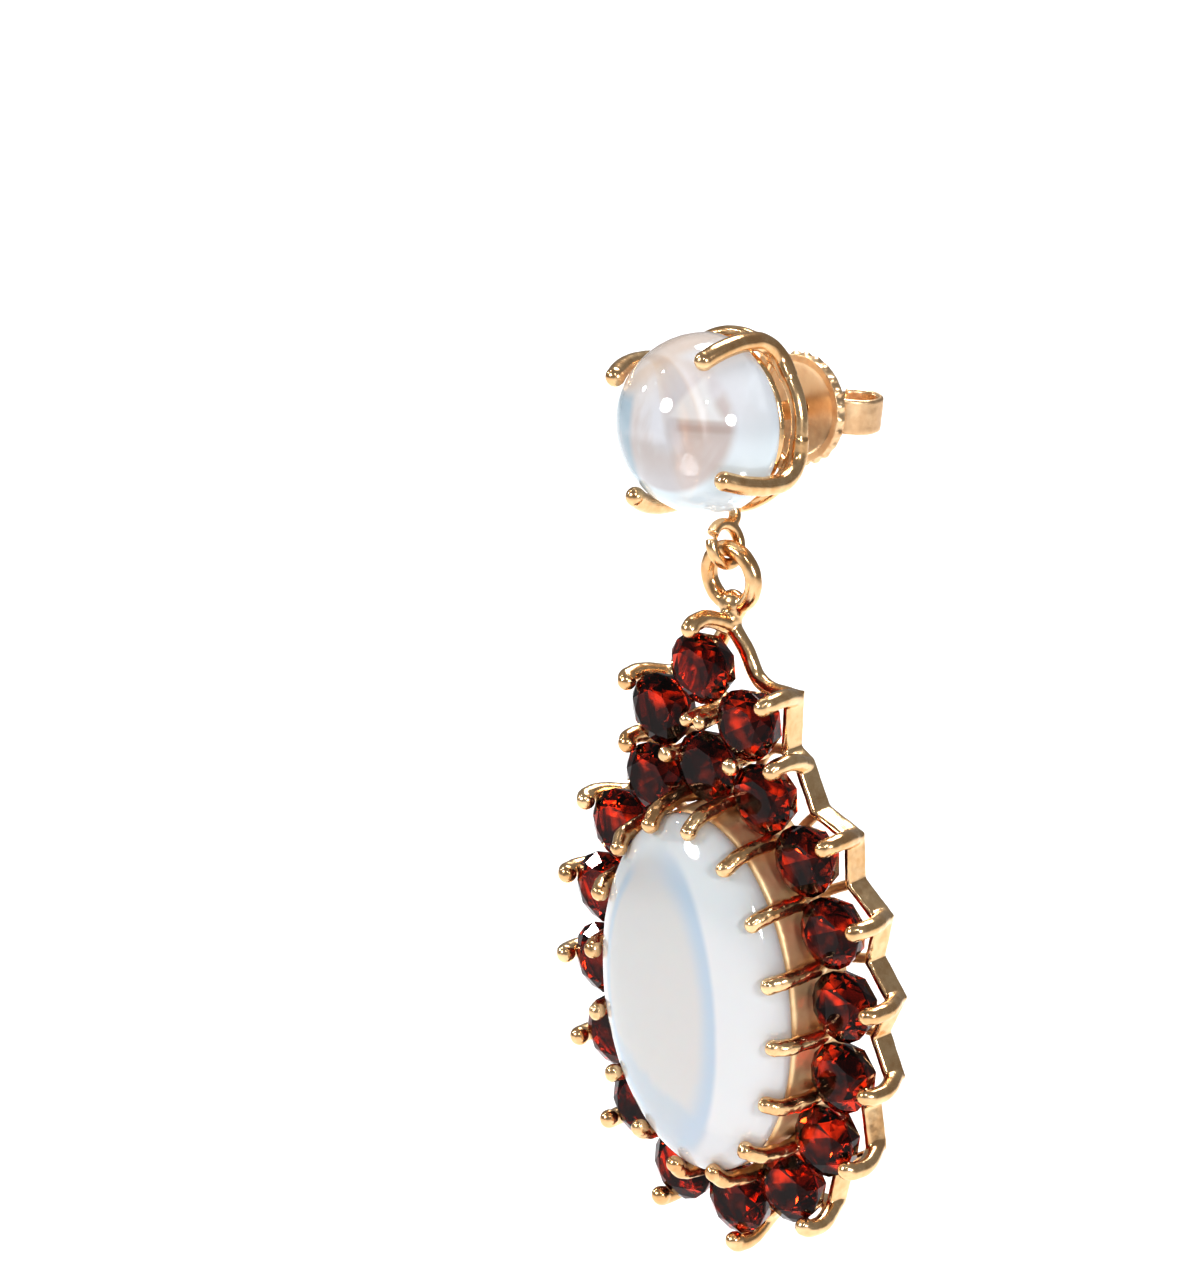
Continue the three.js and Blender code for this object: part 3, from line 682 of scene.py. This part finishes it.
def drop_wall():
    """The oval wall with the braces between the garnets and the spine above."""
    outline = [offset_oval(2 * math.pi * i / WALL_STEPS, WALL_PROUD - WALL_THICKNESS / 2)
               for i in range(WALL_STEPS)]
    braces = []
    for i in range(1, GARNET_COUNT - 1):
        braces.append([oval_point(i + 0.5, -WALL_THICKNESS / 2, GALLERY_MIDDLE),
                       oval_point(i + 0.5, GARNET_LINE_OUT + STRIP_INNER, GALLERY_MIDDLE)])
    notch = strip_half()[2]
    notch.y = GALLERY_MIDDLE
    gap = GAP_CENTRE.copy()
    gap.y = GALLERY_MIDDLE
    in_wall = oval_point(0.5, -WALL_THICKNESS / 2, GALLERY_MIDDLE)
    for turned in (lambda point: point, mirrored):
        braces.append([turned(point) for point in (in_wall, gap, notch)])
    spine = [Vector((0, GALLERY_MIDDLE, OVAL_HALF_HEIGHT - WALL_THICKNESS / 2)),
             Vector((0, GALLERY_MIDDLE, SIDE_GARNET.z))]
    parts = [
        ribbon(outline, WALL_THICKNESS, STONE_GAP - OVAL_SET_FORWARD, GALLERY_BACK),
        strands([even(path) for path in braces], BRACE_WIRE),
        strands([even(spine)], SPINE_WIRE),
    ]
    return fuse("drop_wall", parts, WALL_VOXEL)


def drop_claws():
    """The claws over the oval stone, the middle pair and the round heads between the upper garnets."""
    clear = STONE_GAP + INNER_PRONG_WIRE / 2
    hug = WALL_PROUD + STONE_GAP + INNER_PRONG_WIRE / 2
    claws = []
    for i in range(GARNET_COUNT):
        place = i + 0.5
        claws.append([
            oval_point(place, WALL_PROUD - WALL_THICKNESS / 2, INNER_PRONG_ROOT),
            oval_point(place, hug, 0),
            oval_claw(place, 0, clear),
            oval_claw(place, INNER_PRONG_REACH / 2, clear),
            oval_claw(place, INNER_PRONG_REACH, clear),
        ])
    middle = (TOP_OF_RING.z + CROWN_GARNET.z) / 2
    stand = CENTRE_PRONG_WIRE / 2 + STONE_GAP / 2
    centre_tip = -GARNET_SET_FORWARD - CENTRE_PRONG_TIP
    centres = [[Vector((x, depth, middle)) for depth in (GALLERY_MIDDLE, centre_tip)]
               for x in (-stand, stand)]
    gaps = []
    for x in (-GAP_CENTRE.x, GAP_CENTRE.x):
        gaps.append([Vector((x, GALLERY_MIDDLE, GAP_CENTRE.z)),
                     Vector((x, -GARNET_SET_FORWARD - GAP_PRONG_TIP, GAP_CENTRE.z))])
    rooted = [even(path[:1], INNER_PRONG_ROOT_WIDTH) + even(path[1:]) for path in claws]
    parts = [
        strands(rooted, INNER_PRONG_WIRE),
        strands([even(path) for path in centres], CENTRE_PRONG_WIRE),
        strands([even(path) for path in gaps], GAP_PRONG_WIRE),
    ]
    parts += heads([path[-1] for path in claws], INNER_PRONG_WIRE * PRONG_HEAD)
    parts += heads([path[-1] for path in centres], CENTRE_PRONG_WIRE)
    parts += heads([path[-1] for path in gaps], GAP_PRONG_HEAD, GAP_PRONG_FLATTEN)
    return fuse("drop_claws", parts, CLAW_VOXEL, CLAW_SMOOTHING, CLAW_SWELL_HEIGHT)


# Materials
class Number:
    """A socket of a material's nodes that can stand in a sum: every operator adds a Math node."""

    def __init__(self, tree, socket):
        self.tree = tree
        self.socket = socket

    def joined(self, operation, first, second):
        node = self.tree.nodes.new("ShaderNodeMath")
        node.operation = operation
        for slot, value in zip(node.inputs, (first, second)):
            if isinstance(value, Number):
                self.tree.links.new(value.socket, slot)
            else:
                slot.default_value = value
        return Number(self.tree, node.outputs[0])

    def __add__(self, other):
        return self.joined("ADD", self, other)

    def __radd__(self, other):
        return self.joined("ADD", other, self)

    def __sub__(self, other):
        return self.joined("SUBTRACT", self, other)

    def __mul__(self, other):
        return self.joined("MULTIPLY", self, other)

    def __truediv__(self, other):
        return self.joined("DIVIDE", self, other)

    def __pow__(self, other):
        return self.joined("POWER", self, other)

    def held(self, low, high):
        return self.joined("MINIMUM", self.joined("MAXIMUM", self, low), high)


class Finish:
    """A material around one Principled shader."""

    def __init__(self, name, **surface):
        self.material = bpy.data.materials.new(name)
        self.material.use_nodes = True
        self.tree = self.material.node_tree
        self.shader = self.tree.nodes["Principled BSDF"]
        self.place = self.node("ShaderNodeTexCoord", output="Object")
        for socket, value in surface.items():
            self.shader.inputs[socket.replace("_", " ").title().replace("Ior", "IOR")].default_value = value

    def node(self, kind, settings=None, output=0, **inputs):
        node = self.tree.nodes.new(kind)
        for name, value in (settings or {}).items():
            setattr(node, name, value)
        for name, value in inputs.items():
            key = int(name[1:]) if name[1:].isdigit() else name.title()
            self.fill(node.inputs[key], value)
        return Number(self.tree, node.outputs[output])

    def fill(self, socket, value):
        if isinstance(value, Number):
            self.tree.links.new(value.socket, socket)
        else:
            socket.default_value = value

    def set(self, socket, value):
        self.fill(self.shader.inputs[socket], value)

    def noise(self, scale, detail=2.0, roughness=0.5, distortion=0.0, squeeze=(1.0, 1.0, 1.0)):
        place = self.node("ShaderNodeVectorMath", {"operation": "MULTIPLY"}, i0=self.place, i1=squeeze)
        return self.node("ShaderNodeTexNoise", vector=place, scale=scale, detail=detail, roughness=roughness,
                         distortion=distortion)

    def colours(self, factor, first, second):
        node = self.tree.nodes.new("ShaderNodeMix")
        node.data_type = "RGBA"
        self.fill(node.inputs[0], factor)
        self.fill(node.inputs[6], first)
        self.fill(node.inputs[7], second)
        return Number(self.tree, node.outputs[2])

    def spread(self, value, low, high, new_low=0.0, new_high=1.0):
        return self.node("ShaderNodeMapRange", {"interpolation_type": "SMOOTHSTEP"},
                         i0=value, i1=low, i2=high, i3=new_low, i4=new_high)

    def bump(self, height, strength, distance):
        self.set("Normal", self.node("ShaderNodeBump", strength=strength, distance=distance, height=height))


def gold(name, light, deep, roughness, grain_strength, metallic=1.0):
    """Cast and polished gold: slightly uneven, duller and browner in its grain."""
    finish = Finish(name, metallic=metallic)
    patches = finish.noise(420.0, 2.0)
    grain = finish.noise(2600.0, 3.0)
    pores = finish.noise(9000.0, 2.0)
    tone = finish.spread(patches * 0.6 + grain * 0.4, 0.35, 0.65)
    finish.set("Base Color", finish.colours(tone, deep, light))
    finish.set("Roughness", roughness + grain * 0.12 + pores * 0.05)
    finish.bump(grain * 0.7 + pores * 0.3, grain_strength, 0.03 * MM)
    return finish.material


def garnet_glass():
    finish = Finish("garnet_glass", roughness=0.0, ior=1.76, transmission_weight=1.0,
                    specular_tint=(0.3, 0.26, 0.26, 1))
    # Painted light: noise patches of near-black and bright red in the base colour stand for the stones' dark
    # facets and red flashes.
    depth = finish.spread(finish.noise(800.0, 2.0), 0.42, 0.6)
    finish.set("Base Color", finish.colours(depth, (0.012, 0.0003, 0.0002, 1), (0.75, 0.045, 0.008, 1)))
    return finish.material


def face_map(finish):
    """The stone's own map as two numbers: across and up, from -1 to 1."""
    face = finish.node("ShaderNodeUVMap")
    split = finish.tree.nodes.new("ShaderNodeSeparateXYZ")
    finish.fill(split.inputs[0], face)
    return Number(finish.tree, split.outputs[0]), Number(finish.tree, split.outputs[1])


def clear_moonstone():
    """Clear, its colour painted light: a mottled lilac-brown disk with a white patch, painted as the gold
    back seen through the stone, a painted blue-white sheen, a grey-blue left side painted as the rim's
    refraction, painted light towards the bottom, and a faint painted glow.
    """
    # The emission is a faint painted glow: the stone gives off its own colour.
    finish = Finish("clear_moonstone", roughness=0.02, ior=1.52, transmission_weight=0.5, coat_weight=0.3,
                    emission_strength=0.14)
    across, up = face_map(finish)
    haze = finish.noise(260.0, 3.0, 0.5, 0.4) - 0.5
    clouds = finish.noise(520.0, 4.0, 0.55, 0.6, (1.0, 1.0, 0.45)) - 0.5
    # The disk is painted: the lilac-brown gold back seen through the stone, mottled, warmer at its upper
    # left, with a brown line and a white patch.
    wide = ((across - 0.12) ** 2 + (up - 0.07) ** 2) ** 0.5
    disk = finish.spread(wide + haze * 0.06, 0.69, 0.77, 1.0, 0.0)
    # Painted refraction: the grey-blue left side, where the rim bends the view.
    left = finish.spread(across + haze * 0.15, -0.36, -0.22, 1.0, 0.0) * finish.spread(up, 0.45, 0.25)
    # Painted sheen: blue-white round the disk, strongest towards the lower right.
    glow = finish.spread(across * 0.45 - up * 0.9, 0.0, 0.75)
    rim = finish.colours(glow, (0.76, 0.77, 0.8, 1), (0.84, 0.93, 0.98, 1))
    mottle = finish.spread(clouds + haze * 0.8, -0.14, 0.14)
    body = finish.colours(mottle, (0.64, 0.56, 0.53, 1), (0.72, 0.69, 0.71, 1))
    warm = finish.spread(up * 0.7 - across * 0.7 + haze * 0.4, 0.1, 0.5)
    body = finish.colours(warm * 0.5, body, (0.72, 0.61, 0.53, 1))
    # Painted light from below: the disk paler towards the bottom.
    pale = finish.spread(up + haze * 0.5, -0.25, -0.75)
    body = finish.colours(pale * 0.7, body, (0.72, 0.7, 0.73, 1))
    height = up + clouds * 0.06
    line = finish.spread(height, 0.03, 0.09) * finish.spread(height, 0.11, 0.17, 1.0, 0.0)
    body = finish.colours(line * finish.spread(across, 0.3, 0.45) * 0.6, body, (0.52, 0.41, 0.36, 1))
    # Painted white patch, part of the see-through image of the back.
    white_patch = finish.spread(up - clouds * 0.05, 0.17, 0.23)
    white_patch = white_patch * finish.spread(across * 0.88 - up * 0.47 + haze * 0.06, 0.08, 0.17)
    white_patch = white_patch * finish.spread(across * 0.85 + up * 0.53 + haze * 0.06, 0.72, 0.8, 1.0, 0.0)
    body = finish.colours(white_patch * 0.9, body, (0.85, 0.85, 0.85, 1))
    colour = finish.colours(disk, rim, body)
    shoulder = finish.spread(up * 0.75 - across * 0.66, 0.45, 0.65)
    colour = finish.colours(shoulder * 0.7, colour, (0.66, 0.52, 0.42, 1))
    colour = finish.colours(left * finish.spread(mottle, 0.1, 0.9, 0.95, 0.6), colour, (0.4, 0.5, 0.57, 1))
    finish.set("Base Color", colour)
    # Painted glow: the stone emits its painted colour.
    finish.set("Emission Color", colour)
    return finish.material


def milky_moonstone():
    """Milky, its colour painted light: a warm middle and a blue-grey band to its right, painted as its base
    edge seen through the dome, a thin line at its left painted as the rim's refraction, a bluish foot of
    painted sheen, a top lightened by painted light, and a faint painted glow.
    """
    # The emission is a faint painted glow: the stone gives off its own colour.
    finish = Finish("milky_moonstone", roughness=0.06, ior=1.52, subsurface_weight=0.1, coat_weight=0.5,
                    emission_strength=0.03)
    across, up = face_map(finish)
    haze = finish.noise(160.0, 3.0) - 0.5
    wisps = finish.noise(420.0, 4.0, 0.6, 1.2) - 0.5
    reach = (((across + 0.15) / 0.64) ** 2 + (up / 0.82) ** 2) ** 0.5 + haze * 0.05
    # Painted refraction: a warm middle inside the stone's base edge seen through the dome, and a blue-grey
    # band round it on the right.
    inside = finish.spread(reach, 0.94, 1.06, 1.0, 0.0)
    band = finish.spread(reach, 0.74, 0.99) * finish.spread(reach, 1.0, 1.09, 1.0, 0.0)
    band = band * finish.spread(across + haze * 0.2, -0.3, 0.1) * finish.spread(up, 0.95, 0.6, 0.35, 1.0)
    # Painted refraction: a thin line at the left, where the rim bends the view.
    line = finish.spread(reach, 0.84, 0.92) * finish.spread(reach, 0.93, 1.0, 1.0, 0.0)
    line = line * finish.spread(across, -0.5, -0.3, 1.0, 0.0)
    # Painted sheen: a bluish foot at the bottom.
    foot = finish.spread(up + across * 0.45 + wisps * 0.2, -0.62, -0.5, 1.0, 0.0)
    foot = foot * finish.spread(reach, 1.02, 1.12, 1.0, 0.3)
    # Painted light: the top lighter and bluer.
    crown = finish.spread(up + haze * 0.3, 0.3, 0.75) * finish.spread(reach, 0.9, 1.05)
    colour = finish.colours(inside, (0.63, 0.635, 0.65, 1), (0.55, 0.545, 0.545, 1))
    colour = finish.colours(crown * 0.6, colour, (0.61, 0.65, 0.67, 1))
    colour = finish.colours(foot * 0.9, colour, (0.46, 0.51, 0.56, 1))
    colour = finish.colours((band * 0.95 + line * 0.8).held(0.0, 1.0), colour, (0.42, 0.51, 0.6, 1))
    finish.set("Base Color", colour)
    # Painted glow: the stone emits its painted colour.
    finish.set("Emission Color", colour)
    return finish.material


# Scene
def camera():
    azimuth = math.radians(CAMERA_AZIMUTH)
    elevation = math.radians(CAMERA_ELEVATION)
    roll = math.radians(CAMERA_ROLL)
    right = Vector((math.cos(azimuth), math.sin(azimuth), 0))
    up = Vector((-math.sin(elevation) * math.sin(azimuth), math.sin(elevation) * math.cos(azimuth),
                 math.cos(elevation)))
    back = right.cross(up)
    across = right * math.cos(roll) - up * math.sin(roll)
    upward = right * math.sin(roll) + up * math.cos(roll)
    middle = Vector(LINK_POINT) + across * CENTRE_FROM_LINK[0] + upward * CENTRE_FROM_LINK[1]
    place = Matrix((across, upward, back)).transposed().to_4x4()
    place.translation = (middle + back * CAMERA_DISTANCE) * MM
    bpy.ops.object.camera_add()
    eye = bpy.context.object
    eye.name = "camera"
    eye.matrix_world = place
    eye.data.sensor_width = SENSOR
    eye.data.lens = SENSOR * CAMERA_DISTANCE / (PICTURE_HEIGHT / PIXELS_PER_MM)
    eye.data.clip_start = 0.01
    bpy.context.scene.camera = eye


def soft_light(name, place, aim, size, power, spread):
    bpy.ops.object.light_add(type="AREA", location=place)
    light = bpy.context.object
    light.name = name
    light.data.shape = "DISK"
    light.data.size = size
    light.data.energy = power
    light.data.spread = math.radians(spread)
    light.rotation_euler = (Vector(aim) - Vector(place)).to_track_quat("-Z", "Y").to_euler()


def studio():
    select_only()
    bpy.ops.mesh.primitive_circle_add(vertices=96, radius=FLOOR_RADIUS, fill_type="NGON",
                                      location=(0, 0, FLOOR_HEIGHT))
    floor = bpy.context.object
    floor.name = "floor"
    bpy.ops.object.transform_apply(location=True)
    paper = Finish("pale_paper", roughness=0.9)
    fibres = paper.noise(60.0, 3.0)
    paper.set("Base Color", paper.colours(fibres, (0.93, 0.93, 0.93, 1), (0.95, 0.95, 0.95, 1)))
    floor.data.materials.append(paper.material)
    world = bpy.data.worlds.new("studio")
    world.use_nodes = True
    world.node_tree.nodes["Background"].inputs["Color"].default_value = (1, 1, 1, 1)
    world.node_tree.nodes["Background"].inputs["Strength"].default_value = WORLD_STRENGTH
    bpy.context.scene.world = world
    view = bpy.context.scene.view_settings
    view.view_transform = "Standard"
    view.gamma = VIEW_GAMMA
    view.exposure = VIEW_EXPOSURE
    for lamp in LAMPS:
        soft_light(**lamp)


select_only()
camera()
studio()

polished_gold = gold("polished_gold", (0.95, 0.7, 0.43, 1), (0.78, 0.49, 0.25, 1), 0.13, 0.3)
satin_gold = gold("satin_gold", (0.93, 0.71, 0.47, 1), (0.78, 0.53, 0.32, 1), 0.3, 0.4)
# Painted light: the wall's gold is lighter and less metallic than the rest, to look lit from the side; its
# higher roughness is its satin finish.
wall_gold = gold("wall_gold", (0.98, 0.77, 0.5, 1), (0.92, 0.66, 0.4, 1), 0.4, 0.2, 0.75)
claw_gold = gold("claw_gold", (0.95, 0.71, 0.44, 1), (0.76, 0.47, 0.24, 1), 0.15, 0.7)

finish_piece(stud_basket(), STUD_PLACE, "stud", "gold", polished_gold, "stud_setting")
finish_piece(clutch_butterfly(), CLUTCH_PLACE, "clutch", "clutch_gold", satin_gold, "clutch")
for build, material in ((drop_frame, polished_gold), (drop_wall, wall_gold), (drop_claws, claw_gold)):
    finish_piece(build(), DROP_PLACE, "drop", "gold", material, "drop_setting")

round_stone = cabochon("round_moonstone", ROUND_RADIUS, ROUND_RADIUS, ROUND_DOME, ROUND_BAND, 0, -STUD_TURN)
finish_piece(round_stone, STUD_PLACE, "stud", "clear_moonstone", clear_moonstone(), "stud_moonstone")
oval_stone = cabochon("oval_moonstone", OVAL_HALF_WIDTH, OVAL_HALF_HEIGHT, OVAL_DOME, OVAL_BAND,
                      -OVAL_SET_FORWARD - OVAL_BAND)
finish_piece(oval_stone, DROP_PLACE, "drop", "milky_moonstone", milky_moonstone(), "drop_moonstone")

red_glass = garnet_glass()
for name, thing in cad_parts.items():
    if name.startswith("garnet_"):
        thing.data.materials.clear()
        thing.data.materials.append(red_glass)
